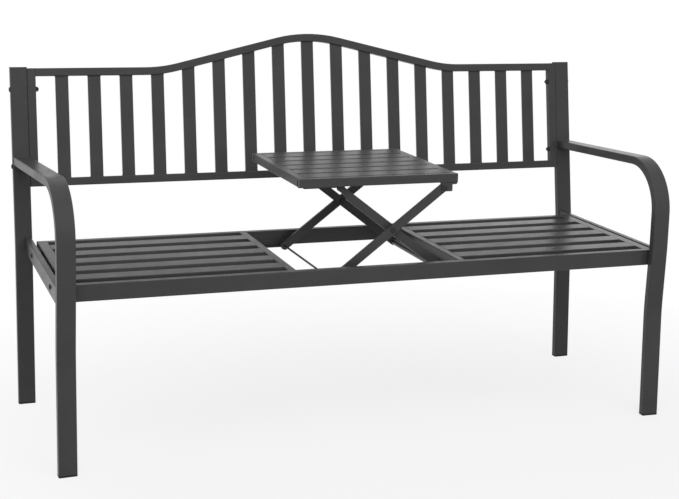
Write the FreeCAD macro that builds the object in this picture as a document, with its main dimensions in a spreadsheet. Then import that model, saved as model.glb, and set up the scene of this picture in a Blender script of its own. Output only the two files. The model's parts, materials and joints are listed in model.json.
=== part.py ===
import FreeCAD, Part
import math
import os
import re
import Sketcher

# Garden bench of painted steel tube with a table in the middle of the seat that
# stands on scissor legs and folds down level with the seat.
# Frame: +X to the right along the bench, +Y to the back, +Z up, millimetres,
# origin on the floor under the middle of the bench.

SIZES = [
    ("overall_length", 1500, "outer faces of the rear posts"),
    ("front_inset", 23, "outer face of a post to the outer face of its front leg"),
    ("front_reach", 301.8, "origin to the foremost face of the front legs"),
    ("seat_height", 409, "top of the seat rails and slats"),
    ("post_width", 40, "post and leg tube, along the bench"),
    ("post_depth", 20, "post and leg tube, across the bench"),
    ("tube_wall", 1.2, "wall of the post and leg tube"),
    ("tube_corner", 3, "outer corner radius of the post and leg tube"),
    ("cap_height", 5, "visible height of a foot cap"),
    ("cap_plug", 12, "length of a cap plug inside its tube"),
    ("top_cap_height", 2, "visible height of a post cap"),
    ("post_stance", 491, "foremost leg face to the front face of the post foot"),
    ("knee_height", 385, "height of the bend in the rear posts"),
    ("knee_set_back", 19, "how far the post leans back up to the knee"),
    ("knee_radius", 260, "centreline radius of the post bend"),
    ("post_rise", 428, "post length above the knee"),
    ("back_rake", 8.63, "lean of the back in degrees"),
    ("leg_bow", 8, "how far the front leg bows back"),
    ("leg_bow_height", 265, "height where the front leg is bowed back most"),
    ("leg_upright", 201, "top of the arm down to where the front leg begins to run upright"),
    ("leg_bow_radius", 600, "radius of the gentle leg bends"),
    ("arm_height", 623, "top of the arm above its front bend"),
    ("arm_bend_radius", 112, "centreline radius of the bend from leg to arm"),
    ("arm_slope", 3.2, "fall of the arm to the back in degrees"),
    ("seat_set_back", 27, "foremost leg face to the seat front rail"),
    ("seat_depth", 436, "seat front rail to the rear face of the seat back rail"),
    ("rail_height", 37, "height of all seat rails"),
    ("rail_thickness", 18, "thickness of the seat front and back rails"),
    ("end_rail_width", 24, "width of the seat end rails"),
    ("bay_rail_width", 18, "width of the rails beside the table"),
    ("side_rail_width", 14, "width of the rails between leg and post"),
    ("seat_gap", 6, "gap between a side rail and the seat end rail"),
    ("bay_width", 392, "clear width of the table bay"),
    ("frame_wall", 1.0, "wall of the seat, back and table tubes"),
    ("frame_corner", 2, "outer corner radius of the seat, back and table tubes"),
    ("seat_slat_width", 44, "width of a seat slat"),
    ("seat_slat_thickness", 12, "thickness of a seat slat"),
    ("seat_slat_count", 5, "slats on each side of the table"),
    ("seat_bolt_inset", 70, "seat rail to the nearest seat bolt"),
    ("panel_height", 284, "height of the back panel at its ends, along the rake"),
    ("panel_drop", 1.5, "top of the post above the top of the panel ends"),
    ("stile_width", 20, "width of the upright panel ends"),
    ("panel_rail_height", 19, "height of the panel top and bottom rails"),
    ("back_slat_width", 31, "width of a back slat"),
    ("back_slat_thickness", 10, "thickness of a back slat"),
    ("back_slat_count", 17, "slats in the back panel"),
    ("hump_rise", 91.3, "height at which the two slopes of the top rail would meet"),
    ("hump_half_width", 380, "middle of the bench to where a slope would meet the level end"),
    ("hump_radius", 350, "centreline radius of the bends in the top rail"),
    ("panel_bolt_inset", 50, "panel top or bottom edge to the nearest panel bolt"),
    ("bolt_radius", 3, "shank radius of seat and panel bolts"),
    ("bolt_head_radius", 6, "head radius of seat and panel bolts"),
    ("bolt_head_height", 3.5, "head height of seat and panel bolts"),
    ("nut_height", 8, "height of a cap nut with its dome"),
    ("table_side_gap", 5, "table end to the bay rail"),
    ("table_front_gap", 12, "table edge to the seat front and back rails"),
    ("table_height", 20, "height of the table rim"),
    ("table_rim_width", 15, "width of the table front and back rails"),
    ("table_end_width", 20, "width of the table end rails"),
    ("table_slat_thickness", 12, "thickness of a table slat"),
    ("table_slat_count", 6, "slats in the table"),
    ("table_slat_gap", 8, "gap between two table slats"),
    ("table_edge_gap", 4, "gap between the rim and the outermost table slat"),
    ("bar_end_gap", 45, "far bay rail to the end pivot of a folded scissor bar"),
    ("bar_width", 20, "width of a scissor bar"),
    ("bar_thickness", 6, "thickness of a scissor bar"),
    ("bar_spacing", 8, "gap between an outer and an inner scissor bar"),
    ("raised_angle", 37.4, "slope of the scissor bars with the table up, in degrees"),
    ("cross_shift", 13, "how far the crossing of the bars lies above their middle"),
    ("pivot_inset", 13, "bay rail to the fixed pivots"),
    ("pivot_rise", 2, "seat rail underside to the fixed pivots"),
    ("pivot_drop", 12, "table underside to the upper pivots"),
    ("pin_radius", 4, "radius of the pivot bolts"),
    ("pin_clearance", 0.05, "radial running clearance of the pivot bolts"),
    ("pin_head_radius", 6.5, "radius of a pivot bolt head"),
    ("pin_head_height", 3, "height of a pivot bolt head"),
    ("pin_nut_height", 5, "height of a pivot nut"),
    ("play", 0.4, "side gap between turning pieces"),
    ("rod_radius", 2.5, "radius of the sliding cross rod"),
    ("roller_radius", 4.5, "radius of the rollers under the table"),
    ("roller_length", 12, "length of a roller beside its bar"),
    ("slide_clearance", 0.3, "gap between a slider and its guide"),
    ("plate_thickness", 3, "thickness of tabs and brackets"),
    ("plate_inset", 2, "table edge to the outer face of a bracket"),
    ("tab_radius", 9, "half height of a fixed pivot tab"),
    ("tie_wall", 1.2, "wall of the round tube between the two pivot tabs"),
    ("bracket_width", 26, "width of a table bracket beside the bar"),
    ("bracket_inset", 12, "table end to the near side of a bracket"),
    ("bracket_reach", 21, "table underside to the lower end of a bracket"),
    ("bracket_foot", 5, "height of the wide top of a bracket"),
    ("bracket_foot_width", 42, "width of the wide top of a bracket"),
    ("guide_wall", 1.5, "thickness of a guide angle"),
    ("guide_width", 15, "width of a guide angle"),
    ("guide_upstand", 16, "height of a guide angle on its rail"),
    ("guide_margin", 10, "guide length beyond the travel of the rod"),
    ("rod_end_gap", 2, "guide upstand to the end of the sliding rod"),
    ("guide_stop", 7, "height of the stop at the end of a guide"),
    ("runner_width", 10, "width of a runner under the table"),
    ("runner_margin", 6, "runner length beyond the travel of a roller"),
]

SIZE_NAMES = {name for name, value, note in SIZES}

doc = FreeCAD.newDocument("garden_bench")
sheet = doc.addObject("Spreadsheet::Sheet", "Sizes")
for row, (name, value, note) in enumerate(SIZES, start=1):
    sheet.set(f"A{row}", name)
    sheet.set(f"B{row}", str(value))
    sheet.setAlias(f"B{row}", name)
    sheet.set(f"C{row}", note)
doc.recompute()

nodes = []
LEVEL = ("0", "0", "1", "0")


def bound(text):
    """Turn a formula of size names into one that reads the size sheet."""
    return re.sub(r"[a-z_]+", lambda m: "Sizes." + m[0] if m[0] in SIZE_NAMES else m[0], text)


def number(text):
    """Present value of a formula of size names."""
    return float(sheet.evalExpression(bound(text)))


def keep(item, label):
    """Name a finished piece and list it for writing."""
    item.Label = label
    nodes.append(item)
    return item


def place(item, base, turn=LEVEL):
    """Bind the position and the turn (axis and degrees) of a piece."""
    x, y, z = base
    ax, ay, az, angle = turn
    text = f"placement(vector({x}; {y}; {z}); rotation(vector({ax}; {ay}; {az}); {angle}))"
    item.setExpression("Placement", bound(text))


def new_body(name):
    body = doc.addObject("PartDesign::Body", name)
    body.AllowCompound = True
    return body


def origin_part(body, role):
    return [part for part in body.Origin.OriginFeatures if part.Role == role][0]


def sketch_on(body, name, role):
    sketch = body.newObject("Sketcher::SketchObject", name)
    sketch.AttachmentSupport = [(origin_part(body, role), "")]
    sketch.MapMode = "FlatFace"
    return sketch


def dimension(sketch, kind, first, first_point, second, second_point, text):
    """Signed distance between two sketch points, bound to a formula."""
    rule = Sketcher.Constraint(kind, first, first_point, second, second_point, number(text))
    index = sketch.addConstraint(rule)
    sketch.setExpression(f"Constraints[{index}]", bound(text))


def fix_point(sketch, line, end, x, y):
    """Hold one end of a sketch line at a place given by two formulas."""
    dimension(sketch, "DistanceX", -1, 1, line, end, x)
    dimension(sketch, "DistanceY", -1, 1, line, end, y)


def set_radius(sketch, arc, text):
    index = sketch.addConstraint(Sketcher.Constraint("Radius", arc, number(text)))
    sketch.setExpression(f"Constraints[{index}]", bound(text))


def point(x, y):
    return FreeCAD.Vector(x, y, 0)


def polygon(sketch, corners):
    """Closed outline through corners given as pairs of formulas."""
    places = [point(number(x), number(y)) for x, y in corners]
    first = sketch.GeometryCount
    count = len(corners)
    for i in range(count):
        sketch.addGeometry(Part.LineSegment(places[i], places[(i + 1) % count]))
    for i in range(count):
        sketch.addConstraint(Sketcher.Constraint("Coincident", first + i, 2, first + (i + 1) % count, 1))
    for i, (x, y) in enumerate(corners):
        fix_point(sketch, first + i, 1, x, y)


def circle(sketch, x, y, radius):
    """Circle with its centre and radius given by formulas."""
    center = point(number(x), number(y))
    index = sketch.addGeometry(Part.Circle(center, FreeCAD.Vector(0, 0, 1), number(radius)))
    dimension(sketch, "DistanceX", -1, 1, index, 3, x)
    dimension(sketch, "DistanceY", -1, 1, index, 3, y)
    set_radius(sketch, index, radius)


def rounded_rectangle(sketch, width, height, corner, x="0", y="0"):
    """Rectangle with round corners, centred on a place given by two formulas."""
    w = number(width) / 2
    v = number(height) / 2
    r = number(corner)
    cx = number(x)
    cy = number(y)
    first = sketch.GeometryCount
    ends = [
        (-w + r, -v, w - r, -v),
        (w, -v + r, w, v - r),
        (w - r, v, -w + r, v),
        (-w, v - r, -w, -v + r),
    ]
    for x1, y1, x2, y2 in ends:
        sketch.addGeometry(Part.LineSegment(point(cx + x1, cy + y1), point(cx + x2, cy + y2)))
    centers = [(w - r, -v + r), (w - r, v - r), (-w + r, v - r), (-w + r, -v + r)]
    quarter = math.pi / 2
    for i, (x1, y1) in enumerate(centers):
        round_edge = Part.Circle(point(cx + x1, cy + y1), FreeCAD.Vector(0, 0, 1), r)
        sketch.addGeometry(Part.ArcOfCircle(round_edge, (i - 1) * quarter, i * quarter))
    for i in range(4):
        line = first + i
        arc = first + 4 + i
        after = first + (i + 1) % 4
        sketch.addConstraint(Sketcher.Constraint("Tangent", line, 2, arc, 1))
        sketch.addConstraint(Sketcher.Constraint("Tangent", arc, 2, after, 1))
    sketch.addConstraint(Sketcher.Constraint("Horizontal", first))
    sketch.addConstraint(Sketcher.Constraint("Vertical", first + 1))
    sketch.addConstraint(Sketcher.Constraint("Horizontal", first + 2))
    sketch.addConstraint(Sketcher.Constraint("Vertical", first + 3))
    for i in range(1, 4):
        sketch.addConstraint(Sketcher.Constraint("Equal", first + 4, first + 4 + i))
    set_radius(sketch, first + 4, corner)
    dimension(sketch, "DistanceX", first + 3, 1, first + 1, 1, width)
    dimension(sketch, "DistanceY", first, 1, first + 2, 1, height)
    dimension(sketch, "DistanceX", -1, 1, first + 1, 1, f"{x} + ({width}) / 2")
    dimension(sketch, "DistanceY", -1, 1, first + 2, 1, f"{y} + ({height}) / 2")


def tube_section(sketch, width, height, corner, wall, x="0", y="0"):
    """Outer and inner outline of a rectangular tube."""
    rounded_rectangle(sketch, width, height, corner, x, y)
    left = f"{x} - ({width}) / 2 + {wall}"
    right = f"{x} + ({width}) / 2 - {wall}"
    low = f"{y} - ({height}) / 2 + {wall}"
    high = f"{y} + ({height}) / 2 - {wall}"
    polygon(sketch, [(left, low), (right, low), (right, high), (left, high)])


def pad(body, sketch, length, side="Symmetric"):
    item = body.newObject("PartDesign::Pad", sketch.Name + "_pad")
    item.Profile = sketch
    item.SideType = side
    item.setExpression("Length", bound(length))
    sketch.Visibility = False
    return item


def cut_through(body, sketch, length):
    """Cut an outline through the body, the same way to both sides of its plane."""
    item = body.newObject("PartDesign::Pocket", sketch.Name + "_cut")
    item.Profile = sketch
    item.SideType = "Symmetric"
    item.setExpression("Length", bound(length))
    return item


def repeat(body, feature, role, count, length):
    """Row of copies along one axis of the body."""
    item = body.newObject("PartDesign::LinearPattern", feature.Name + "_row")
    item.Originals = [feature]
    item.Direction = (origin_part(body, role), [""])
    item.setExpression("Length", bound(length))
    item.setExpression("Occurrences", bound(count))
    body.Tip = item
    return item


def straight_tube(name, role, width, height, length, base, turn=LEVEL):
    """Straight piece of frame tube, its section on one origin plane, centred on its place."""
    body = new_body(name)
    section = sketch_on(body, name + "_section", role)
    tube_section(section, width, height, "frame_corner", "frame_wall")
    pad(body, section, length)
    place(body, base, turn)
    return body


def flat_piece(name, role, corners, thickness, base, turn=LEVEL):
    """Flat plate with an outline of straight edges, centred on its plane."""
    body = new_body(name)
    outline = sketch_on(body, name + "_outline", role)
    polygon(outline, corners)
    pad(body, outline, thickness)
    place(body, base, turn)
    return body


def turned(name, corners, base, turn=LEVEL):
    """Round piece turned about its own upright axis from (radius, height) corners."""
    body = new_body(name)
    outline = sketch_on(body, name + "_outline", "XZ_Plane")
    polygon(outline, corners)
    spin = body.newObject("PartDesign::Revolution", name + "_turned")
    spin.Profile = outline
    spin.ReferenceAxis = (origin_part(body, "Z_Axis"), [""])
    spin.Angle = 360
    place(body, base, turn)
    return body


def mirrored(source, name, normal=(1, 0, 0), middle="0"):
    """Copy on the other side of an upright plane at a given distance from the origin."""
    item = doc.addObject("Part::Mirroring", name)
    item.Source = source
    item.Normal = normal
    item.setExpression("Base.x" if normal[0] else "Base.y", bound(middle))
    return item


def group(name, members):
    item = doc.addObject("Part::Compound", name)
    item.Links = members
    return item


def cut_by(name, base, tools):
    """Piece with the space of other pieces taken away."""
    for i, tool in enumerate(tools):
        item = doc.addObject("Part::Cut", f"{name}_{i}")
        item.Base = base
        item.Tool = tool
        base = item
    return base


def heading(vector):
    return math.atan2(vector.y, vector.x)


def rounded_path(sketch, corners, radii):
    """Path of straight runs between corner formulas, each inner corner rounded by a radius formula."""
    spots = [point(number(x), number(y)) for x, y in corners]
    starts = list(spots[:-1])
    stops = list(spots[1:])
    arcs = []
    for i, radius in enumerate(radii, start=1):
        r = number(radius)
        before = (spots[i] - spots[i - 1]).normalize()
        after = (spots[i + 1] - spots[i]).normalize()
        cut_back = r * math.tan(before.getAngle(after) / 2)
        stops[i - 1] = spots[i] - before * cut_back
        starts[i] = spots[i] + after * cut_back
        turns_left = before.cross(after).z > 0
        side = 1 if turns_left else -1
        center = stops[i - 1] + point(-before.y, before.x) * side * r
        ends = [heading(stops[i - 1] - center), heading(starts[i] - center)]
        if not turns_left:
            ends.reverse()
        arcs.append((Part.ArcOfCircle(Part.Circle(center, FreeCAD.Vector(0, 0, 1), r), *ends), turns_left))
    runs = len(starts)
    for i in range(runs):
        sketch.addGeometry(Part.LineSegment(starts[i], stops[i]))
        if i < runs - 1:
            sketch.addGeometry(arcs[i][0])
    for i, (arc, turns_left) in enumerate(arcs):
        first, second = (1, 2) if turns_left else (2, 1)
        sketch.addConstraint(Sketcher.Constraint("Tangent", 2 * i, 2, 2 * i + 1, first))
        sketch.addConstraint(Sketcher.Constraint("Tangent", 2 * i + 1, second, 2 * i + 2, 1))
        set_radius(sketch, 2 * i + 1, radii[i])
    fix_point(sketch, 0, 1, *corners[0])
    fix_point(sketch, 2 * runs - 2, 2, *corners[-1])
    for i, (x, y) in enumerate(corners[1:-1]):
        spot = sketch.addGeometry(Part.Point(point(number(x), number(y))), True)
        sketch.addConstraint(Sketcher.Constraint("PointOnObject", spot, 1, 2 * i))
        sketch.addConstraint(Sketcher.Constraint("PointOnObject", spot, 1, 2 * i + 2))
        fix_point(sketch, spot, 1, x, y)
    return 2 * runs - 1


def bent_tube(name, role, corners, radii, section_role, width, depth, corner, wall):
    """Tube or solid bar bent along a path that starts at the origin of the body."""
    body = new_body(name)
    section = sketch_on(body, name + "_section", section_role)
    if wall:
        tube_section(section, width, depth, corner, wall)
    else:
        rounded_rectangle(section, width, depth, corner)
    path = sketch_on(body, name + "_path", role)
    count = rounded_path(path, corners, radii)
    pipe = body.newObject("PartDesign::AdditivePipe", name + "_pipe")
    pipe.Profile = section
    pipe.Spine = (path, [f"Edge{i + 1}" for i in range(count)])
    return body


# Places that several pieces share.
post_x = "(overall_length / 2 - post_width / 2)"
front_half = "(overall_length / 2 - front_inset)"
post_y = "(post_stance - front_reach + post_depth / 2)"
knee_y = f"({post_y} + knee_set_back)"
leg_y = "(post_depth / 2 - front_reach)"
side_rail_x = f"({front_half} - side_rail_width / 2)"
frame_half = f"({front_half} - side_rail_width - seat_gap)"
rail_z = "(seat_height - rail_height / 2)"
seat_front = "(seat_set_back - front_reach)"
bay_front = f"({seat_front} + rail_thickness)"
bay_back = f"({seat_front} + seat_depth - rail_thickness)"
bay_depth = "(seat_depth - 2 * rail_thickness)"
bay_y = f"({seat_front} + seat_depth / 2)"
panel_half = "(overall_length / 2 - post_width)"
panel_top = "(post_rise - panel_drop)"
panel_low = f"({panel_top} - panel_height)"

# Rear posts: one tube each, bent at the knee, with holes for the panel bolts.
rake_turn = ("1", "0", "0", "-back_rake")
post_corners = [
    ("0", "0"),
    ("knee_set_back", "knee_height - cap_height"),
    (
        "knee_set_back + post_rise * sin(back_rake)",
        "knee_height - cap_height + post_rise * cos(back_rake)",
    ),
]


def post_shape(name, wall):
    body = bent_tube(
        name, "YZ_Plane", post_corners, ["knee_radius"], "XY_Plane",
        "post_width", "post_depth", "tube_corner", wall,
    )
    place(body, (f"-{post_x}", post_y, "cap_height"))
    return body


post_solid = post_shape("post_solid", None)
post_left = post_shape("post_left", "tube_wall")
holes = sketch_on(post_left, "post_bolt_holes", "YZ_Plane")
for along in (f"({panel_low} + panel_bolt_inset)", f"({panel_top} - panel_bolt_inset)"):
    circle(
        holes,
        f"knee_set_back + {along} * sin(back_rake)",
        f"knee_height - cap_height + {along} * cos(back_rake)",
        "bolt_radius + pin_clearance",
    )
cut_through(post_left, holes, "2 * post_width")
keep(post_left, "post_left")
keep(mirrored(post_left, "post_right"), "post_right")

# Front leg and arm: one tube each side, bowed at the leg, bent into the arm,
# toed out so that the arm meets the post, and cut off along the post.
arm_fall = "tan(arm_slope)"
arm_line = f"(arm_height - post_depth / 2 - cap_height + arm_bend_radius * {arm_fall})"
arm_end = "(post_stance + knee_set_back + (arm_height - knee_height) * tan(back_rake))"
toe = f"atan(front_inset / {arm_end})"
arm_corners = [
    ("0", "0"),
    ("leg_bow", "leg_bow_height - cap_height"),
    ("0", "arm_height - leg_upright - cap_height"),
    ("0", arm_line),
    (arm_end, f"{arm_line} - {arm_end} * {arm_fall}"),
]
leg_x = f"({front_half} - post_width / 2)"


def arm_shape(name, wall):
    body = bent_tube(
        name, "YZ_Plane", arm_corners,
        ["leg_bow_radius", "leg_bow_radius", "arm_bend_radius"], "XY_Plane",
        "post_width", "post_depth", "tube_corner", wall,
    )
    place(body, (f"-{leg_x}", leg_y, "cap_height"), ("0", "0", "1", toe))
    return body


arm_solid = arm_shape("arm_solid", None)
arm_tube = arm_shape("arm_tube", "tube_wall")
arm_limit = doc.addObject("Part::Box", "arm_limit")
arm_limit.setExpression("Length", bound("3 * post_width"))
arm_limit.setExpression("Width", bound("3 * post_depth"))
arm_limit.setExpression("Height", bound("post_rise"))
limit_base = (
    f"-{post_x} - 1.5 * post_width",
    f"{knee_y} - post_depth / 2 * cos(back_rake)",
    "knee_height + post_depth / 2 * sin(back_rake)",
)
place(arm_limit, limit_base, rake_turn)
arm_leg_left = keep(cut_by("arm_leg_left", arm_tube, [arm_limit]), "arm_leg_left")
keep(mirrored(arm_leg_left, "arm_leg_right"), "arm_leg_right")

# Side rails run from leg to post at seat height, shaped to both, with holes for the seat bolts.
side_length = "(post_stance + knee_set_back)"
side_middle = f"(post_depth / 2 - front_reach + {side_length} / 2)"
side_bar = straight_tube(
    "side_bar", "XZ_Plane", "side_rail_width", "rail_height", side_length,
    (f"-{side_rail_x}", side_middle, rail_z),
)
seat_bolt_front = f"({seat_front} + seat_bolt_inset)"
seat_bolt_back = f"({seat_front} + seat_depth - seat_bolt_inset)"


def bolt_holes(body, name, shift, radius, reach):
    """Two holes along X through a rail that runs along Y, whose middle is at shift."""
    sketch = sketch_on(body, name, "YZ_Plane")
    for place_y in (seat_bolt_front, seat_bolt_back):
        circle(sketch, f"{place_y} - {shift}", "0", radius)
    cut_through(body, sketch, reach)


bolt_holes(side_bar, "side_bolt_holes", side_middle, "bolt_radius + pin_clearance", "2 * side_rail_width")
side_rail_left = keep(cut_by("side_rail_left", side_bar, [arm_solid, post_solid]), "side_rail_left")
keep(mirrored(side_rail_left, "side_rail_right"), "side_rail_right")

# Plastic caps: a plug inside the tube and a visible foot or lid as large as the tube.
plug_width = "(post_width - 2 * tube_wall - 2 * slide_clearance)"
plug_lean = "(cap_plug * knee_set_back / (knee_height - cap_height))"
plug_depth = f"(post_depth - 2 * tube_wall - 2 * slide_clearance - 2 * {plug_lean})"


def cap(name, height, upward, base, turn=LEVEL):
    """Cap with its visible part below the tube end, or above it for a lid."""
    body = new_body(name)
    lid = sketch_on(body, name + "_lid", "XY_Plane")
    rounded_rectangle(lid, "post_width", "post_depth", "tube_corner")
    lid_pad = pad(body, lid, height, "One side")
    lid_pad.Reversed = not upward
    plug = sketch_on(body, name + "_plug", "XY_Plane")
    rounded_rectangle(plug, plug_width, plug_depth, "tube_corner / 2")
    plug_pad = pad(body, plug, "cap_plug", "One side")
    plug_pad.Reversed = upward
    place(body, base, turn)
    return body


foot_post = cap("foot_post", "cap_height", False, (f"-{post_x}", post_y, "cap_height"))
foot_leg = cap("foot_leg", "cap_height", False, (f"-{leg_x}", leg_y, "cap_height"), ("0", "0", "1", toe))
foot_members = [foot_post, foot_leg, mirrored(foot_post, "foot_post_r"), mirrored(foot_leg, "foot_leg_r")]
keep(group("foot_caps", foot_members), "foot_caps")
lean = "atan(knee_set_back / (knee_height - cap_height))"
post_end = (
    f"-{post_x}",
    f"{knee_y} + post_rise * sin(back_rake)",
    "knee_height + post_rise * cos(back_rake)",
)
lid_left = cap("lid_left", "top_cap_height", True, post_end, ("1", "0", "0", f"{lean} - back_rake * 1 deg"))
keep(group("post_caps", [lid_left, mirrored(lid_left, "lid_right")]), "post_caps")

# Seat frame: long front and back rails with end rails and bay rails between them.
long_length = f"2 * {frame_half}"
seat_front_rail = straight_tube(
    "seat_front_rail", "YZ_Plane", "rail_thickness", "rail_height", long_length,
    ("0", f"{seat_front} + rail_thickness / 2", rail_z),
)
keep(seat_front_rail, "seat_front_rail")
seat_back_rail = straight_tube(
    "seat_back_rail", "YZ_Plane", "rail_thickness", "rail_height", long_length,
    ("0", f"{bay_back} + rail_thickness / 2", rail_z),
)
keep(seat_back_rail, "seat_back_rail")
end_rail = straight_tube(
    "seat_end_rail_left", "XZ_Plane", "end_rail_width", "rail_height", bay_depth,
    (f"end_rail_width / 2 - {frame_half}", bay_y, rail_z),
)
bolt_holes(end_rail, "end_bolt_holes", bay_y, "bolt_radius + pin_clearance", "2 * end_rail_width")
keep(end_rail, "seat_end_rail_left")
keep(mirrored(end_rail, "seat_end_rail_right"), "seat_end_rail_right")
bay_rail = straight_tube(
    "bay_rail_left", "XZ_Plane", "bay_rail_width", "rail_height", bay_depth,
    ("- bay_width / 2 - bay_rail_width / 2", bay_y, rail_z),
)
keep(bay_rail, "bay_rail_left")
keep(mirrored(bay_rail, "bay_rail_right"), "bay_rail_right")

# Seat slats: a row of flat tubes on each side of the bay, level with the rails.
slat_inner = "(bay_width / 2 + bay_rail_width)"
slat_outer = f"({frame_half} - end_rail_width)"
slat_count = "round(seat_slat_count)"
slat_gap = f"(({bay_depth} - {slat_count} * seat_slat_width) / ({slat_count} + 1))"
seat_slats = new_body("seat_slats_left")
slat_section = sketch_on(seat_slats, "seat_slat_section", "YZ_Plane")
tube_section(slat_section, "seat_slat_width", "seat_slat_thickness", "frame_corner", "frame_wall")
seat_slat = pad(seat_slats, slat_section, f"{slat_outer} - {slat_inner}")
repeat(seat_slats, seat_slat, "Y_Axis", slat_count, f"({slat_count} - 1) * (seat_slat_width + {slat_gap})")
place(
    seat_slats,
    (
        f"-({slat_outer} + {slat_inner}) / 2",
        f"{bay_front} + {slat_gap} + seat_slat_width / 2",
        "seat_height - seat_slat_thickness / 2",
    ),
)
keep(seat_slats, "seat_slats_left")
keep(mirrored(seat_slats, "seat_slats_right"), "seat_slats_right")


# Back panel: stiles bolted to the posts, bottom rail, humped top rail and slats, leaned with the posts.
def raked(x, along):
    """Place on the leaned plane of the back, a distance along it above the knee."""
    return (x, f"{knee_y} + ({along}) * sin(back_rake)", f"knee_height + ({along}) * cos(back_rake)")


panel_inner = f"({panel_half} - stile_width)"
back_bottom_rail = straight_tube(
    "back_bottom_rail", "YZ_Plane", "post_depth", "panel_rail_height", f"2 * {panel_inner}",
    raked("0", f"{panel_low} + panel_rail_height / 2"), rake_turn,
)
keep(back_bottom_rail, "back_bottom_rail")
stile = straight_tube(
    "back_stile_left", "XY_Plane", "stile_width", "post_depth", "panel_height",
    raked(f"-{panel_half} + stile_width / 2", f"{panel_low} + panel_height / 2"), rake_turn,
)
stile_holes = sketch_on(stile, "stile_bolt_holes", "YZ_Plane")
for side in ("-1", "1"):
    circle(stile_holes, "0", f"{side} * (panel_height / 2 - panel_bolt_inset)", "bolt_radius + pin_clearance")
cut_through(stile, stile_holes, "2 * stile_width")
keep(stile, "back_stile_left")
keep(mirrored(stile, "back_stile_right"), "back_stile_right")

hump_corners = [
    ("0", "0"),
    (f"{panel_inner} - hump_half_width", "0"),
    (panel_inner, "hump_rise"),
    (f"{panel_inner} + hump_half_width", "0"),
    (f"2 * {panel_inner}", "0"),
]
back_top_rail = bent_tube(
    "back_top_rail", "XZ_Plane", hump_corners, ["hump_radius", "hump_radius", "hump_radius"], "YZ_Plane",
    "post_depth", "panel_rail_height", "frame_corner", "frame_wall",
)
place(back_top_rail, raked(f"-{panel_inner}", f"{panel_top} - panel_rail_height / 2"), rake_turn)
keep(back_top_rail, "back_top_rail")

# Back slats: a row of flat tubes cut off along the underside of the top rail.
back_count = "round(back_slat_count)"
back_pitch = f"((2 * {panel_inner} + back_slat_width) / ({back_count} + 1))"
back_clear = "(panel_height - 2 * panel_rail_height)"
half_rail = "(panel_rail_height / 2)"
hump_angle = "atan(hump_rise / hump_half_width)"
hump_shift = f"{half_rail} * tan({hump_angle} / 2)"
back_slats = new_body("back_slats")
back_section = sketch_on(back_slats, "back_slat_section", "XY_Plane")
tube_section(
    back_section, "back_slat_width", "back_slat_thickness", "frame_corner", "frame_wall",
    f"-({back_count} - 1) / 2 * {back_pitch}", "0",
)
back_slat = pad(back_slats, back_section, f"{back_clear} + hump_rise", "One side")
repeat(back_slats, back_slat, "X_Axis", back_count, f"({back_count} - 1) * {back_pitch}")
top_cut = sketch_on(back_slats, "back_slat_tops", "XZ_Plane")
cut_corners = [
    (f"-{panel_inner}", back_clear),
    (f"-hump_half_width + {hump_shift}", back_clear),
    ("0", f"{back_clear} + {half_rail} + hump_rise - {half_rail} / cos({hump_angle})"),
    (f"hump_half_width - {hump_shift}", back_clear),
    (panel_inner, back_clear),
]
cut_radii = [f"hump_radius + {half_rail}", f"hump_radius - {half_rail}", f"hump_radius + {half_rail}"]
edge_count = rounded_path(top_cut, cut_corners, cut_radii)
cut_high = f"{back_clear} + 2 * hump_rise"
high_right = point(number(panel_inner), number(cut_high))
high_left = point(-number(panel_inner), number(cut_high))
right_side = top_cut.addGeometry(Part.LineSegment(top_cut.Geometry[edge_count - 1].EndPoint, high_right))
top_side = top_cut.addGeometry(Part.LineSegment(high_right, high_left))
left_side = top_cut.addGeometry(Part.LineSegment(high_left, top_cut.Geometry[0].StartPoint))
top_cut.addConstraint(Sketcher.Constraint("Coincident", edge_count - 1, 2, right_side, 1))
top_cut.addConstraint(Sketcher.Constraint("Coincident", right_side, 2, top_side, 1))
top_cut.addConstraint(Sketcher.Constraint("Coincident", top_side, 2, left_side, 1))
top_cut.addConstraint(Sketcher.Constraint("Coincident", left_side, 2, 0, 1))
fix_point(top_cut, top_side, 1, panel_inner, cut_high)
fix_point(top_cut, top_side, 2, f"-{panel_inner}", cut_high)
cut_through(back_slats, top_cut, "2 * post_depth")
place(back_slats, raked("0", f"{panel_low} + panel_rail_height"), rake_turn)
keep(back_slats, "back_slats")


# Bolts with round heads and cap nuts; a bolt points away from its head along its own axis.
def bolt(name, length, base, turn):
    corners = [
        ("0", f"-({length})"),
        ("bolt_radius", f"-({length})"),
        ("bolt_radius", "0"),
        ("bolt_head_radius", "0"),
        ("bolt_head_radius", "bolt_head_height / 3"),
        ("bolt_head_radius * 0.7", "bolt_head_height * 0.85"),
        ("0", "bolt_head_height"),
    ]
    return turned(name, corners, base, turn)


def hexagon(sketch, radius):
    corners = []
    for i in range(6):
        corners.append((f"({radius}) * cos({60 * i})", f"({radius}) * sin({60 * i})"))
    polygon(sketch, corners)


def cap_nut(name, base, turn):
    """Six-sided nut with a dome, bored from below."""
    body = new_body(name)
    sides = sketch_on(body, name + "_sides", "XY_Plane")
    hexagon(sides, "bolt_head_radius")
    pad(body, sides, "nut_height * 0.6", "One side")
    dome = sketch_on(body, name + "_dome", "XZ_Plane")
    dome_corners = [
        ("0", "0"),
        ("bolt_head_radius * 0.8", "0"),
        ("bolt_head_radius * 0.8", "nut_height * 0.65"),
        ("bolt_head_radius * 0.6", "nut_height * 0.88"),
        ("0", "nut_height"),
    ]
    polygon(dome, dome_corners)
    spin = body.newObject("PartDesign::Revolution", name + "_turned")
    spin.Profile = dome
    spin.ReferenceAxis = (origin_part(body, "Z_Axis"), [""])
    spin.Angle = 360
    bore = sketch_on(body, name + "_bore", "XY_Plane")
    circle(bore, "0", "0", "bolt_radius + pin_clearance")
    cut_through(body, bore, "nut_height * 1.2")
    place(body, base, turn)
    return body


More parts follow.
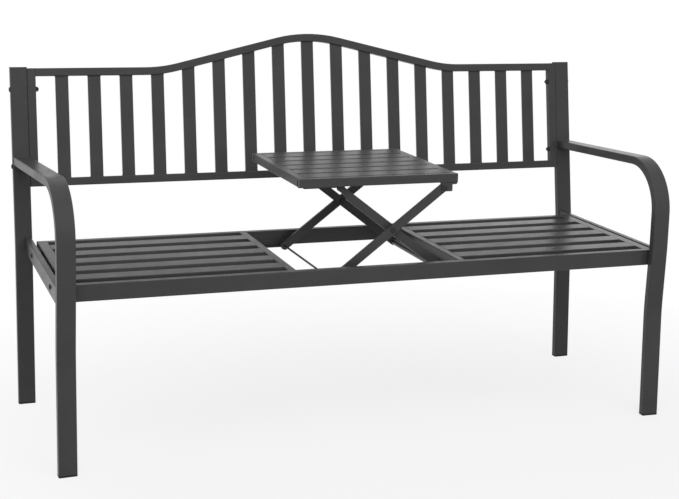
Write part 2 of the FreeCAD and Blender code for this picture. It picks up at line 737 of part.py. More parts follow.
toward_left = ("0", "1", "0", "-90")
toward_right = ("0", "1", "0", "90")
toward_front = ("1", "0", "0", "90")
toward_back = ("1", "0", "0", "-90")
thread_length = "(nut_height * 0.55)"

panel_bolts = []
panel_nuts = []
for spot, along in (("low", f"{panel_low} + panel_bolt_inset"), ("high", f"{panel_top} - panel_bolt_inset")):
    left_bolt = bolt(
        f"panel_bolt_{spot}", f"post_width + stile_width + {thread_length}",
        raked("- overall_length / 2", along), toward_left,
    )
    left_nut = cap_nut(f"panel_nut_{spot}", raked(f"-{panel_inner}", along), toward_right)
    panel_bolts += [left_bolt, mirrored(left_bolt, f"panel_bolt_{spot}_r")]
    panel_nuts += [left_nut, mirrored(left_nut, f"panel_nut_{spot}_r")]
keep(group("panel_bolts", panel_bolts), "panel_bolts")
keep(group("panel_nuts", panel_nuts), "panel_nuts")

seat_bolts = []
seat_nuts = []
seat_spacers = []
for spot, place_y in (("front", seat_bolt_front), ("rear", seat_bolt_back)):
    left_bolt = bolt(
        f"seat_bolt_{spot}", f"side_rail_width + seat_gap + end_rail_width + {thread_length}",
        (f"-{front_half}", place_y, rail_z), toward_left,
    )
    left_nut = cap_nut(f"seat_nut_{spot}", (f"-{slat_outer}", place_y, rail_z), toward_right)
    ring_corners = [
        ("bolt_radius + pin_clearance", "0"),
        ("bolt_head_radius * 1.4", "0"),
        ("bolt_head_radius * 1.4", "seat_gap"),
        ("bolt_radius + pin_clearance", "seat_gap"),
    ]
    left_ring = turned(f"seat_spacer_{spot}", ring_corners, (f"-{frame_half}", place_y, rail_z), toward_left)
    seat_bolts += [left_bolt, mirrored(left_bolt, f"seat_bolt_{spot}_r")]
    seat_nuts += [left_nut, mirrored(left_nut, f"seat_nut_{spot}_r")]
    seat_spacers += [left_ring, mirrored(left_ring, f"seat_spacer_{spot}_r")]
keep(group("seat_bolts", seat_bolts), "seat_bolts")
keep(group("seat_nuts", seat_nuts), "seat_nuts")
keep(group("seat_spacers", seat_spacers), "seat_spacers")

# Scissor legs: two outer and two inner bars crossing above their middles. The inner bars turn on
# tabs of the right bay rail, the outer bars carry the table; the far ends of the outer bars
# slide on guides and the far ends of the inner bars carry rollers under the table.
bar_length = "(bay_width - pivot_inset - bar_end_gap)"
pivot_x = "(bay_width / 2 - pivot_inset)"
pivot_z = "(seat_height - rail_height + pivot_rise)"
lower_half = f"({bar_length} / 2 + cross_shift)"
upper_half = f"({bar_length} / 2 - cross_shift)"
slide_x = f"({pivot_x} - 2 * {lower_half} * cos(raised_angle))"
roller_x = f"({pivot_x} - {bar_length} * cos(raised_angle))"
top_x = f"({pivot_x} - 2 * cross_shift * cos(raised_angle))"
top_z = f"({pivot_z} + {bar_length} * sin(raised_angle))"
cross_x = f"({pivot_x} - {lower_half} * cos(raised_angle))"
cross_z = f"({pivot_z} + {lower_half} * sin(raised_angle))"
table_under = f"({top_z} + pivot_drop)"
table_half_x = "(bay_width / 2 - table_side_gap)"
table_x = "(cross_shift * (1 - cos(raised_angle)))"
table_half_y = f"({bay_depth} / 2 - table_front_gap)"
table_front = f"({bay_y} - {table_half_y})"
plate_y = f"({table_front} + plate_inset + plate_thickness / 2)"
outer_y = f"({plate_y} + plate_thickness / 2 + play + bar_thickness / 2)"
inner_y = f"({outer_y} + bar_thickness + bar_spacing)"
tab_y = f"({inner_y} + bar_thickness / 2 + play + plate_thickness / 2)"
pin_hole = "(pin_radius + pin_clearance)"


def rear_copy(source, name):
    """Copy on the other side of the middle of the table bay."""
    return mirrored(source, name, (0, 1, 0), bay_y)


def front_and_rear(source, label):
    keep(source, label + "_front")
    keep(rear_copy(source, label + "_rear"), label + "_rear")


def pair(source, label):
    keep(group(label, [source, rear_copy(source, label + "_mirrored")]), label)


def scissor_bar(name):
    """Flat bar with round ends around two pivots, the right one at the origin of the body."""
    body = new_body(name)
    outline = sketch_on(body, name + "_outline", "XZ_Plane")
    reach = number(bar_length)
    r = number("bar_width") / 2
    turn = math.pi / 2
    up = FreeCAD.Vector(0, 0, 1)
    outline.addGeometry(Part.LineSegment(point(0, r), point(-reach, r)))
    outline.addGeometry(Part.ArcOfCircle(Part.Circle(point(-reach, 0), up, r), turn, 3 * turn))
    outline.addGeometry(Part.LineSegment(point(-reach, -r), point(0, -r)))
    outline.addGeometry(Part.ArcOfCircle(Part.Circle(point(0, 0), up, r), -turn, turn))
    for i in range(4):
        outline.addConstraint(Sketcher.Constraint("Tangent", i, 2, (i + 1) % 4, 1))
    outline.addConstraint(Sketcher.Constraint("Equal", 1, 3))
    outline.addConstraint(Sketcher.Constraint("Coincident", 3, 3, -1, 1))
    outline.addConstraint(Sketcher.Constraint("PointOnObject", 1, 3, -1))
    dimension(outline, "DistanceX", -1, 1, 1, 3, f"-{bar_length}")
    set_radius(outline, 3, "bar_width / 2")
    pad(body, outline, "bar_thickness")
    return body


def bar_holes(body, name, spots):
    sketch = sketch_on(body, name, "XZ_Plane")
    for x, radius in spots:
        circle(sketch, x, "0", radius)
    cut_through(body, sketch, "2 * bar_thickness")


inner_bar = scissor_bar("inner_bar")
bar_holes(inner_bar, "inner_bar_holes", [("0", pin_hole), (f"-{lower_half}", pin_hole)])
nose = sketch_on(inner_bar, "inner_bar_nose", "XZ_Plane")
nose_corners = [
    (f"-{bar_length} - bar_width", "-roller_radius"),
    (f"-{bar_length} - bar_width", "-bar_width"),
    (f"-{bar_length} + bar_width * 1.5", "-bar_width"),
    (f"-{bar_length} + bar_width * 1.5", "-bar_width / 2"),
    (f"-{bar_length} + 2 * rod_radius", "-roller_radius"),
]
polygon(nose, nose_corners)
cut_through(inner_bar, nose, "2 * bar_thickness")
place(inner_bar, (pivot_x, inner_y, pivot_z), ("0", "1", "0", "raised_angle"))
front_and_rear(inner_bar, "inner_bar")

outer_bar = scissor_bar("outer_bar")
outer_spots = [
    ("0", pin_hole),
    (f"-{upper_half}", pin_hole),
    (f"-{bar_length}", "rod_radius + pin_clearance"),
]
bar_holes(outer_bar, "outer_bar_holes", outer_spots)
place(outer_bar, (top_x, outer_y, top_z), ("0", "1", "0", "-raised_angle"))
front_and_rear(outer_bar, "outer_bar")


def pin(name, radius, length, base):
    """Plain round pin along Y, from its base towards the back."""
    corners = [("0", "0"), (radius, "0"), (radius, length), ("0", length)]
    return turned(name, corners, base, toward_back)


def ring(name, inner, outer, length, base):
    """Round ring along Y, from its base towards the back."""
    corners = [(inner, "0"), (outer, "0"), (outer, length), (inner, length)]
    return turned(name, corners, base, toward_back)


def pivot_bolt(name, grip, base, tail_radius, tail_length):
    """Pivot bolt along Y: head in front of the base, grip behind it, then a tail."""
    corners = [
        ("0", "pin_head_height"),
        ("pin_head_radius * 0.8", "pin_head_height"),
        ("pin_head_radius", "pin_head_height * 0.6"),
        ("pin_head_radius", "0"),
        ("pin_radius", "0"),
        ("pin_radius", f"-({grip})"),
        (tail_radius, f"-({grip})"),
        (tail_radius, f"-({grip} + {tail_length})"),
        ("0", f"-({grip} + {tail_length})"),
    ]
    return turned(name, corners, base, toward_front)


def pivot_nut(name, base):
    """Six-sided nut along Y, from its base towards the back."""
    body = new_body(name)
    sides = sketch_on(body, name + "_sides", "XY_Plane")
    hexagon(sides, "pin_head_radius")
    circle(sides, "0", "0", pin_hole)
    pad(body, sides, "pin_nut_height", "One side")
    place(body, base, toward_back)
    return body


rod_length = f"({bay_depth} - 2 * guide_wall - 2 * rod_end_gap)"
outer_cross_rod = pin(
    "outer_cross_rod", "rod_radius", rod_length, (slide_x, f"{bay_y} - {rod_length} / 2", pivot_z)
)
keep(outer_cross_rod, "outer_cross_rod")
roller = pin(
    "roller", "roller_radius", "roller_length", (roller_x, f"{inner_y} + bar_thickness / 2", top_z)
)
pair(roller, "inner_rollers")

centre_bolt = pivot_bolt(
    "centre_bolt", "play + 2 * bar_thickness + bar_spacing",
    (cross_x, f"{outer_y} - bar_thickness / 2 - play", cross_z), "pin_radius * 0.95", "pin_nut_height * 1.1",
)
pair(centre_bolt, "centre_bolts")
pair(pivot_nut("centre_nut", (cross_x, f"{inner_y} + bar_thickness / 2", cross_z)), "centre_nuts")
centre_spacer = ring(
    "centre_spacer", pin_hole, "pin_head_radius * 1.2", "bar_spacing - play",
    (cross_x, f"{outer_y} + bar_thickness / 2 + play", cross_z),
)
pair(centre_spacer, "centre_spacers")

# Fixed pivots on the right bay rail.
tab = new_body("pivot_tab")
tab_outline = sketch_on(tab, "pivot_tab_outline", "XZ_Plane")
tab_corners = [
    ("pivot_inset", "-tab_radius"),
    ("pivot_inset", "tab_radius"),
    ("-tab_radius / 2", "tab_radius"),
    ("-tab_radius", "tab_radius / 2"),
    ("-tab_radius", "-tab_radius / 2"),
    ("-tab_radius / 2", "-tab_radius"),
]
polygon(tab_outline, tab_corners)
circle(tab_outline, "0", "0", pin_hole)
pad(tab, tab_outline, "plate_thickness")
place(tab, (pivot_x, tab_y, pivot_z))
front_and_rear(tab, "pivot_tab")
lower_bolt = pivot_bolt(
    "lower_pivot_bolt", "2 * play + bar_thickness + plate_thickness",
    (pivot_x, f"{inner_y} - bar_thickness / 2 - play", pivot_z), "pin_radius * 0.95", "pin_nut_height * 1.1",
)
pair(lower_bolt, "lower_pivot_bolts")
pair(pivot_nut("lower_pivot_nut", (pivot_x, f"{tab_y} + plate_thickness / 2", pivot_z)), "lower_pivot_nuts")

# A round tube ties the two pivot tabs together around the nuts.
tie_start = f"({tab_y} + plate_thickness / 2)"
tie_bore = "(pin_head_radius + slide_clearance)"
tie_length = f"2 * ({bay_y} - {tie_start})"
pivot_tie = ring("pivot_tie", tie_bore, f"{tie_bore} + tie_wall", tie_length, (pivot_x, tie_start, pivot_z))
keep(pivot_tie, "pivot_tie")

# Guide angles for the sliding rod, each with a stop that holds the rod with the table up.
guide = new_body("guide")
guide_section = sketch_on(guide, "guide_section", "YZ_Plane")
section_corners = [
    ("0", "0"),
    ("guide_width", "0"),
    ("guide_width", "guide_wall"),
    ("guide_wall", "guide_wall"),
    ("guide_wall", "guide_upstand"),
    ("0", "guide_upstand"),
]
polygon(guide_section, section_corners)
guide_run = f"(2 * {lower_half} * (1 - cos(raised_angle)) + 2 * rod_radius + guide_margin + guide_wall)"
pad(guide, guide_section, guide_run, "One side").Reversed = True
guide_end = sketch_on(guide, "guide_end", "YZ_Plane")
end_corners = [
    ("0", "0"),
    ("guide_width", "0"),
    ("guide_width", "guide_wall + guide_stop"),
    ("0", "guide_wall + guide_stop"),
]
polygon(guide_end, end_corners)
pad(guide, guide_end, "guide_wall", "One side").Reversed = True
guide_base = (
    f"{slide_x} + rod_radius + slide_clearance + guide_wall",
    bay_front,
    f"{pivot_z} - rod_radius - slide_clearance - guide_wall",
)
place(guide, guide_base)
front_and_rear(guide, "guide")

# Table: rim of square tube, slats level with it, brackets to the outer bars, runners over the rollers.
table_z = f"({table_under} + table_height / 2)"
table_front_rail = straight_tube(
    "table_front_rail", "YZ_Plane", "table_rim_width", "table_height", f"2 * {table_half_x}",
    (table_x, f"{table_front} + table_rim_width / 2", table_z),
)
keep(table_front_rail, "table_front_rail")
keep(rear_copy(table_front_rail, "table_back_rail"), "table_back_rail")
table_end_rail = straight_tube(
    "table_end_rail_left", "XZ_Plane", "table_end_width", "table_height",
    f"2 * ({table_half_y} - table_rim_width)",
    (f"{table_x} + table_end_width / 2 - {table_half_x}", bay_y, table_z),
)
keep(table_end_rail, "table_end_rail_left")
keep(mirrored(table_end_rail, "table_end_rail_right", middle=table_x), "table_end_rail_right")
table_count = "round(table_slat_count)"
table_clear = f"(2 * ({table_half_y} - table_rim_width - table_edge_gap))"
table_slat_width = f"(({table_clear} - ({table_count} - 1) * table_slat_gap) / {table_count})"
table_slats = new_body("table_slats")
table_section = sketch_on(table_slats, "table_slat_section", "YZ_Plane")
tube_section(table_section, table_slat_width, "table_slat_thickness", "frame_corner", "frame_wall")
table_slat = pad(table_slats, table_section, f"2 * ({table_half_x} - table_end_width)")
table_row = f"({table_count} - 1) * ({table_slat_width} + table_slat_gap)"
repeat(table_slats, table_slat, "Y_Axis", table_count, table_row)
place(
    table_slats,
    (
        table_x,
        f"{table_front} + table_rim_width + table_edge_gap + {table_slat_width} / 2",
        f"{table_under} + table_height - table_slat_thickness / 2",
    ),
)
keep(table_slats, "table_slats")

bracket = new_body("table_bracket")
bracket_outline = sketch_on(bracket, "bracket_outline", "XZ_Plane")
foot_right = f"({table_x} + {table_half_x} - {top_x})"
bracket_right = f"({foot_right} - bracket_inset)"
bracket_left = f"({bracket_right} - bracket_width)"
bracket_corners = [
    (f"{foot_right} - bracket_foot_width", "0"),
    (f"{foot_right} - bracket_foot_width", "-bracket_foot / 2"),
    (bracket_left, "-bracket_foot"),
    (bracket_left, "-bracket_reach"),
    (bracket_right, "-bracket_reach"),
    (bracket_right, "-bracket_foot"),
    (f"{foot_right} - bracket_foot / 2", "-bracket_foot"),
    (foot_right, "-bracket_foot / 2"),
    (foot_right, "0"),
]
polygon(bracket_outline, bracket_corners)
circle(bracket_outline, "0", "-pivot_drop", pin_hole)
pad(bracket, bracket_outline, "plate_thickness")
place(bracket, (top_x, plate_y, table_under))
front_and_rear(bracket, "table_bracket")
upper_bolt = pivot_bolt(
    "upper_pivot_bolt", "plate_thickness + 2 * play + bar_thickness",
    (top_x, f"{plate_y} - plate_thickness / 2", top_z), "pin_head_radius", "pin_head_height",
)
pair(upper_bolt, "upper_pivot_bolts")

runner_left = f"({table_x} + table_end_width - {table_half_x})"
runner_right = f"({roller_x} + roller_radius + runner_margin)"
runner_low = f"({top_z} + roller_radius + slide_clearance)"
runner_high = f"({table_under} + table_height - table_slat_thickness)"
runner_corners = [
    (runner_left, runner_low),
    (runner_right, runner_low),
    (runner_right, runner_high),
    (runner_left, runner_high),
]
runner_y = f"{inner_y} + bar_thickness / 2 + roller_length / 2"
runner = flat_piece("table_runner", "XZ_Plane", runner_corners, "runner_width", ("0", runner_y, "0"))
pair(runner, "table_runners")

doc.recompute()
for item in doc.Objects:
    if "Invalid" in item.State or "Error" in item.State:
        raise RuntimeError(f"{item.Label} did not compute: {item.State}")
for item in nodes:
    if item.Shape.isNull() or not item.Shape.isValid():
        raise RuntimeError(f"{item.Label} has no valid shape")

os.makedirs("parts", exist_ok=True)
for item in nodes:
    item.Shape.exportStep(f"parts/{item.Label}.step")
print(len(nodes), "pieces written")
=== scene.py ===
import json
import math

import bmesh
import bpy
from mathutils import Matrix, Vector


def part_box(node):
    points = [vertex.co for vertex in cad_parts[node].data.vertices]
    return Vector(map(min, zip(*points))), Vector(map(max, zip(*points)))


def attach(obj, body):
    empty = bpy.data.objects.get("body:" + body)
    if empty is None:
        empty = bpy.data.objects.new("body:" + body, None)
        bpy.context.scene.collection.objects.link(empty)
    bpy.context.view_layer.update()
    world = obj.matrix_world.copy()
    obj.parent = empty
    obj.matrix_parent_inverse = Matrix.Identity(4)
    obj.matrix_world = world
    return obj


# Dark powder-coated garden bench with a pop-up middle table, on a pale studio floor.
# All places and lengths are in metres in the frame of the model: +X right, +Y back, +Z up.

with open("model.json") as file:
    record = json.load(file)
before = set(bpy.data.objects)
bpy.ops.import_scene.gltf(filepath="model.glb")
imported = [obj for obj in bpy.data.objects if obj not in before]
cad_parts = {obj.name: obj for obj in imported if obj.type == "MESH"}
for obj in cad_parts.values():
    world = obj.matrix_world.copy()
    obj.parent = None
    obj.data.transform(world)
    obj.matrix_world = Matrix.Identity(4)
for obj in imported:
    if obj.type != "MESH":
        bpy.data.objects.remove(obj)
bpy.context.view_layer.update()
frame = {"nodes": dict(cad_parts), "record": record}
nodes = frame["nodes"]
scene = bpy.context.scene

# Camera: the place, turn and focal length from which the photograph's lines are met.
# Angles are in radians. The lens axis meets the picture SHIFT_PIXELS right of and below its centre.
IMAGE_WIDTH = 679
CAMERA_PLACE = Vector((-1.1281, -3.1060, 1.1449))
CAMERA_YAW = -0.34514
CAMERA_PITCH = -0.16832
CAMERA_ROLL = 0.02403
FOCAL_PIXELS = 1391.66
SHIFT_PIXELS = (-1.689, -80.0)
SENSOR_MM = 36.0


def make_camera():
    """Camera turned by yaw, then pitch, then roll about its own line of sight."""
    forward = Vector((
        -math.sin(CAMERA_YAW) * math.cos(CAMERA_PITCH),
        math.cos(CAMERA_YAW) * math.cos(CAMERA_PITCH),
        math.sin(CAMERA_PITCH),
    ))
    level_right = Vector((math.cos(CAMERA_YAW), math.sin(CAMERA_YAW), 0))
    level_up = level_right.cross(forward)
    right = level_right * math.cos(CAMERA_ROLL) + level_up * math.sin(CAMERA_ROLL)
    up = level_up * math.cos(CAMERA_ROLL) - level_right * math.sin(CAMERA_ROLL)
    data = bpy.data.cameras.new("camera")
    data.sensor_fit = "HORIZONTAL"
    data.sensor_width = SENSOR_MM
    data.lens = FOCAL_PIXELS * SENSOR_MM / IMAGE_WIDTH
    data.shift_x = -SHIFT_PIXELS[0] / IMAGE_WIDTH
    data.shift_y = SHIFT_PIXELS[1] / IMAGE_WIDTH
    camera = bpy.data.objects.new("camera", data)
    turn = Matrix((right, up, -forward)).transposed().to_4x4()
    camera.matrix_world = Matrix.Translation(CAMERA_PLACE) @ turn
    scene.collection.objects.link(camera)
    scene.camera = camera


make_camera()


# Shader nodes
# A noise texture keeps mostly between these two values.
NOISE_LOW = 0.3
NOISE_HIGH = 0.7

# Dot product of the softened and the true normal, on an edge and on a flat face.
EDGE_DOT = 0.80
FLAT_DOT = 0.985
EDGE_SAMPLES = 6

# Upward share of the normal, where a sloping face starts to count as level and where it fully does.
SLOPED_Z = 0.75
LEVEL_Z = 0.98


def new_material(name):
    """A material with its node tree and its main shader."""
    material = bpy.data.materials.new(name)
    material.use_nodes = True
    tree = material.node_tree
    return material, tree, tree.nodes["Principled BSDF"]


def add_node(tree, kind, **settings):
    """A new node with its settings."""
    node = tree.nodes.new(kind)
    for key, value in settings.items():
        setattr(node, key, value)
    return node


def noise(tree, place, scale, detail):
    """Cloudy noise, as one value at each place."""
    node = add_node(tree, "ShaderNodeTexNoise")
    node.inputs["Scale"].default_value = scale
    node.inputs["Detail"].default_value = detail
    tree.links.new(place, node.inputs["Vector"])
    return node.outputs["Fac"]


def spread(tree, value, low, high, start=NOISE_LOW, end=NOISE_HIGH):
    """Map a value between start and end onto a range from low to high."""
    node = add_node(tree, "ShaderNodeMapRange")
    node.inputs["From Min"].default_value = start
    node.inputs["From Max"].default_value = end
    node.inputs["To Min"].default_value = low
    node.inputs["To Max"].default_value = high
    tree.links.new(value, node.inputs["Value"])
    return node.outputs["Result"]


def math_of(tree, operation, first, second):
    """Join two values; each is either a number or an output of another node."""
    node = add_node(tree, "ShaderNodeMath", operation=operation)
    for socket, value in zip(node.inputs, (first, second)):
        if isinstance(value, (int, float)):
            socket.default_value = value
        else:
            tree.links.new(value, socket)
    return node.outputs[0]


def blend_colours(tree, amount, first, second):
    """Mix two colours; each is either three numbers or an output of another node."""
    node = add_node(tree, "ShaderNodeMix", data_type="RGBA")
    colour_inputs = [s for s in node.inputs if s.type == "RGBA"]
    for socket, value in zip(colour_inputs, (first, second)):
        if isinstance(value, tuple):
            socket.default_value = (*value, 1)
        else:
            tree.links.new(value, socket)
    tree.links.new(amount, node.inputs["Factor"])
    return next(s for s in node.outputs if s.type == "RGBA")


def bump(tree, shader, height, strength, distance):
    """Fine relief on a shader's surface."""
    node = add_node(tree, "ShaderNodeBump")
    node.inputs["Strength"].default_value = strength
    node.inputs["Distance"].default_value = distance
    tree.links.new(height, node.inputs["Height"])
    tree.links.new(node.outputs["Normal"], shader.inputs["Normal"])


def edge_amount(tree, radius):
    """How close a place is to a sharp edge: 0 on a flat face, 1 on the edge itself."""
    soft = add_node(tree, "ShaderNodeBevel", samples=EDGE_SAMPLES)
    soft.inputs["Radius"].default_value = radius
    true = add_node(tree, "ShaderNodeNewGeometry").outputs["True Normal"]
    dot = add_node(tree, "ShaderNodeVectorMath", operation="DOT_PRODUCT")
    tree.links.new(soft.outputs["Normal"], dot.inputs[0])
    tree.links.new(true, dot.inputs[1])
    return spread(tree, dot.outputs["Value"], 1.0, 0.0, EDGE_DOT, FLAT_DOT)


def upward_amount(tree):
    """1 on a face that looks straight up, 0 on upright and hanging faces."""
    normal = add_node(tree, "ShaderNodeNewGeometry").outputs["Normal"]
    split = add_node(tree, "ShaderNodeSeparateXYZ")
    tree.links.new(normal, split.inputs["Vector"])
    return spread(tree, split.outputs["Z"], 0.0, 1.0, SLOPED_Z, LEVEL_Z)


# Materials of the bench
COAT_SPECULAR = 0.18
TONE_SCALE = 9.0
PATCH_SCALE = 42.0
SPECK_FINENESS = 3.1
SPECK_HEIGHT = 0.35
SKIN_STRENGTH = 0.14
SKIN_DEPTH = 0.0004
GLOSS_PATCHES = 0.025
# Edges turn towards a paler colour: partly rubbed-through coating, partly a painted highlight along the
# tube edges.
EDGE_RADIUS = 0.0016
LEAST_WEAR_AND_HIGHLIGHT = 0.25
# Upward faces turn towards a pale grey: partly dust, partly painted light on the lit tops.
LEAST_DUST_AND_TOP_LIGHT = 0.35
DUST_AND_TOP_LIGHT_COLOUR = (0.16, 0.16, 0.155)


def powder_coat(name, dark, light, edge_wear_and_highlight, roughness, grain, dust_and_top_light):
    """Baked coating: orange-peel skin, slow changes of tone and gloss, paler edges (partly wear, partly
    painted highlight) and paler upward faces (partly dust, partly painted light).
    """
    material, tree, shader = new_material(name)
    place = add_node(tree, "ShaderNodeTexCoord").outputs["Object"]
    slow = noise(tree, place, TONE_SCALE, detail=4.0)
    patch = noise(tree, place, PATCH_SCALE, detail=5.0)
    peel = noise(tree, place, grain, detail=2.0)
    speck = noise(tree, place, grain * SPECK_FINENESS, detail=1.0)

    tone = blend_colours(tree, spread(tree, slow, 0.0, 1.0), dark, light)
    # Paler edges: partly wear, partly a painted highlight on the edges.
    wear_and_highlight_patches = spread(tree, patch, LEAST_WEAR_AND_HIGHLIGHT, 1.0)
    edge = math_of(tree, "MULTIPLY", edge_amount(tree, EDGE_RADIUS), wear_and_highlight_patches)
    tone = blend_colours(tree, edge, tone, edge_wear_and_highlight)
    # Paler upward faces: partly dust, partly painted light on the tops.
    dust_and_top_light_patches = spread(tree, patch, LEAST_DUST_AND_TOP_LIGHT * dust_and_top_light, dust_and_top_light)
    dust_and_top_light_amount = math_of(tree, "MULTIPLY", upward_amount(tree), dust_and_top_light_patches)
    tone = blend_colours(tree, dust_and_top_light_amount, tone, DUST_AND_TOP_LIGHT_COLOUR)
    tree.links.new(tone, shader.inputs["Base Color"])

    slow_gloss = spread(tree, slow, *roughness)
    patch_gloss = spread(tree, patch, -GLOSS_PATCHES, GLOSS_PATCHES)
    gloss = math_of(tree, "ADD", slow_gloss, patch_gloss)
    tree.links.new(gloss, shader.inputs["Roughness"])
    shader.inputs["Specular IOR Level"].default_value = COAT_SPECULAR

    skin = math_of(tree, "ADD", peel, math_of(tree, "MULTIPLY", speck, SPECK_HEIGHT))
    bump(tree, shader, skin, SKIN_STRENGTH, SKIN_DEPTH)
    return material


# The dust amount of each coating below is partly dust, partly painted light on upward faces.
# The edge colour of each coating below is partly wear, partly a painted highlight.
coat = powder_coat(
    "powder_coat",
    dark=(0.035, 0.0352, 0.0356),
    light=(0.042, 0.0422, 0.0426),
    edge_wear_and_highlight=(0.085, 0.085, 0.086),
    roughness=(0.29, 0.36),
    grain=700.0,
    dust_and_top_light=0.03,
)
hardware = powder_coat(
    "dark_hardware",
    dark=(0.016, 0.016, 0.017),
    light=(0.024, 0.024, 0.025),
    edge_wear_and_highlight=(0.085, 0.085, 0.088),
    roughness=(0.30, 0.40),
    grain=1500.0,
    dust_and_top_light=0.05,
)
plastic = powder_coat(
    "cap_plastic",
    dark=(0.013, 0.013, 0.014),
    light=(0.018, 0.018, 0.019),
    edge_wear_and_highlight=(0.030, 0.030, 0.030),
    roughness=(0.50, 0.62),
    grain=2200.0,
    dust_and_top_light=0.12,
)
BY_SLOT = {"powder_coat": coat, "dark_hardware": hardware, "cap_plastic": plastic}

for part in frame["record"]["subparts"]:
    node = nodes[part["node"]]
    node.data.materials.clear()
    node.data.materials.append(BY_SLOT[part["material_slot"]])


# Building pieces
def join_rings(bm, rings):
    """Faces between the rings of a row, and one to close each end."""
    count = len(rings[0])
    for first, second in zip(rings, rings[1:]):
        for k in range(count):
            after = (k + 1) % count
            bm.faces.new((first[k], first[after], second[after], second[k]))
    bm.faces.new(reversed(rings[0]))
    bm.faces.new(rings[-1])


def make_piece(bm, name, body, smooth):
    """Turn a finished mesh into a coated piece that rides on a body."""
    bmesh.ops.recalc_face_normals(bm, faces=bm.faces)
    mesh = bpy.data.meshes.new(name)
    bm.to_mesh(mesh)
    bm.free()
    for polygon in mesh.polygons:
        polygon.use_smooth = smooth
    mesh.materials.append(coat)
    piece = bpy.data.objects.new(name, mesh)
    scene.collection.objects.link(piece)
    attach(piece, body)


def solids_of(node):
    """Vertex places of each separate solid in a node."""
    bm = bmesh.new()
    bm.from_mesh(nodes[node].data)
    bmesh.ops.remove_doubles(bm, verts=bm.verts, dist=1e-6)
    seen = set()
    groups = []
    for vert in bm.verts:
        if vert in seen:
            continue
        stack = [vert]
        seen.add(vert)
        group = []
        while stack:
            here = stack.pop()
            group.append(here.co.copy())
            for edge in here.link_edges:
                other = edge.other_vert(here)
                if other not in seen:
                    seen.add(other)
                    stack.append(other)
        groups.append(group)
    bm.free()
    return groups


def vertices_of(node):
    """Vertex places of all solids in a node together."""
    return [v for solid in solids_of(node) for v in solid]


def span(values):
    """Lowest and highest of some values."""
    values = list(values)
    return min(values), max(values)


# The back panel leans back by this angle.
BACK_RAKE = math.radians(8.63)
PANEL_UP = Vector((0, math.sin(BACK_RAKE), math.cos(BACK_RAKE)))
PANEL_BACK = Vector((0, math.cos(BACK_RAKE), -math.sin(BACK_RAKE)))


def panel_place(x, up, back):
    """A place given across, up and through the leaning back panel."""
    return Vector((x, 0, 0)) + PANEL_UP * up + PANEL_BACK * back


# Weld beads
BEAD_SIDES = 7
RIPPLE_PITCH = 0.0017
RINGS_PER_RIPPLE = 3
RIPPLE_DROP = 0.22
SWAY_SHARE = 0.08
SWAY_RATE = 2.3
SWAY_OFFSET = 1.7
END_SHARE = 0.45
END_TAPER = 6.0

SLAT_BEAD = 0.0013
FRAME_BEAD = 0.0016
ARM_BEAD = 0.0019

# How far an upright bead stays above the lower and below the upper edge of its joint.
SLAT_MARGINS = (0.001, 0.003)
RAIL_MARGINS = (0.002, 0.003)
SIDE_RAIL_MARGINS = (0.003, 0.003)
TAB_MARGINS = (0.002, 0.002)

# How far a bead through the depth of the back panel stays inside both faces.
BACK_SLAT_MARGIN = 0.0012
STILE_MARGIN = 0.002

# How far the other beads stay inside the ends of their joints.
ARM_INSET = 0.003
BRACKET_INSET = 0.003
SIDE_RAIL_FRONT_INSET = 0.0008
SIDE_RAIL_REAR_INSET = 0.0030

# Vertices this near to a side or an end face belong to it.
SLAT_SIDE_REACH = 0.0021
ARM_END_REACH = 0.0003

STITCH_LENGTH = 0.014
STITCH_COUNT = 3


def bead(bm, start, end, radius, offset):
    """One weld bead from start to end: overlapping ripples that vary a little in size."""
    line = end - start
    along = line.normalized()
    side = along.orthogonal().normalized()
    over = along.cross(side)
    ripples = max(2, round(line.length / RIPPLE_PITCH))
    count = ripples * RINGS_PER_RIPPLE + 1
    rings = []
    for i in range(count):
        part = i / (count - 1)
        phase = (i % RINGS_PER_RIPPLE) / RINGS_PER_RIPPLE
        swell = 1.0 - RIPPLE_DROP * phase
        sway = 1.0 + SWAY_SHARE * math.sin(SWAY_RATE * i / RINGS_PER_RIPPLE + offset)
        taper = min(1.0, END_SHARE + END_TAPER * min(part, 1 - part))
        size = radius * swell * sway * taper
        centre = start + line * part
        ring = []
        for k in range(BEAD_SIDES):
            turn = 2 * math.pi * k / BEAD_SIDES
            sideways = side * size * math.cos(turn)
            upwards = over * size * math.sin(turn)
            ring.append(bm.verts.new(centre + sideways + upwards))
        rings.append(ring)
    join_rings(bm, rings)


def bead_piece(name, runs, body):
    """One piece of several beads; a run is start, end and radius."""
    bm = bmesh.new()
    for index, (start, end, radius) in enumerate(runs):
        bead(bm, Vector(start), Vector(end), radius, SWAY_OFFSET * index)
    make_piece(bm, name, body, smooth=True)


def upright_run(x, y, low_z, high_z, margins, radius):
    """A bead straight up at one place, inside its margins."""
    below, above = margins
    return (x, y, low_z + below), (x, y, high_z - above), radius


def depth_run(x, up, near, far, margin, radius):
    """A bead through the depth of the back panel, inside its margin."""
    return panel_place(x, up, near + margin), panel_place(x, up, far - margin), radius


def slat_end_runs(node, radius):
    """Short upright beads on both sides of both ends of level slats that run along X."""
    runs = []
    for solid in solids_of(node):
        low_z, high_z = span(v.z for v in solid)
        for x in span(v.x for v in solid):
            for y in span(v.y for v in solid):
                runs.append(upright_run(x, y, low_z, high_z, SLAT_MARGINS, radius))
    return runs


def back_slat_runs(radius):
    """Beads where the back slats meet the lower and the curved upper rail."""
    runs = []
    for solid in solids_of("back_slats"):
        near, far = span(v.dot(PANEL_BACK) for v in solid)
        for x in span(v.x for v in solid):
            side = [v.dot(PANEL_UP) for v in solid if abs(v.x - x) < SLAT_SIDE_REACH]
            for up in span(side):
                runs.append(depth_run(x, up, near, far, BACK_SLAT_MARGIN, radius))
    return runs


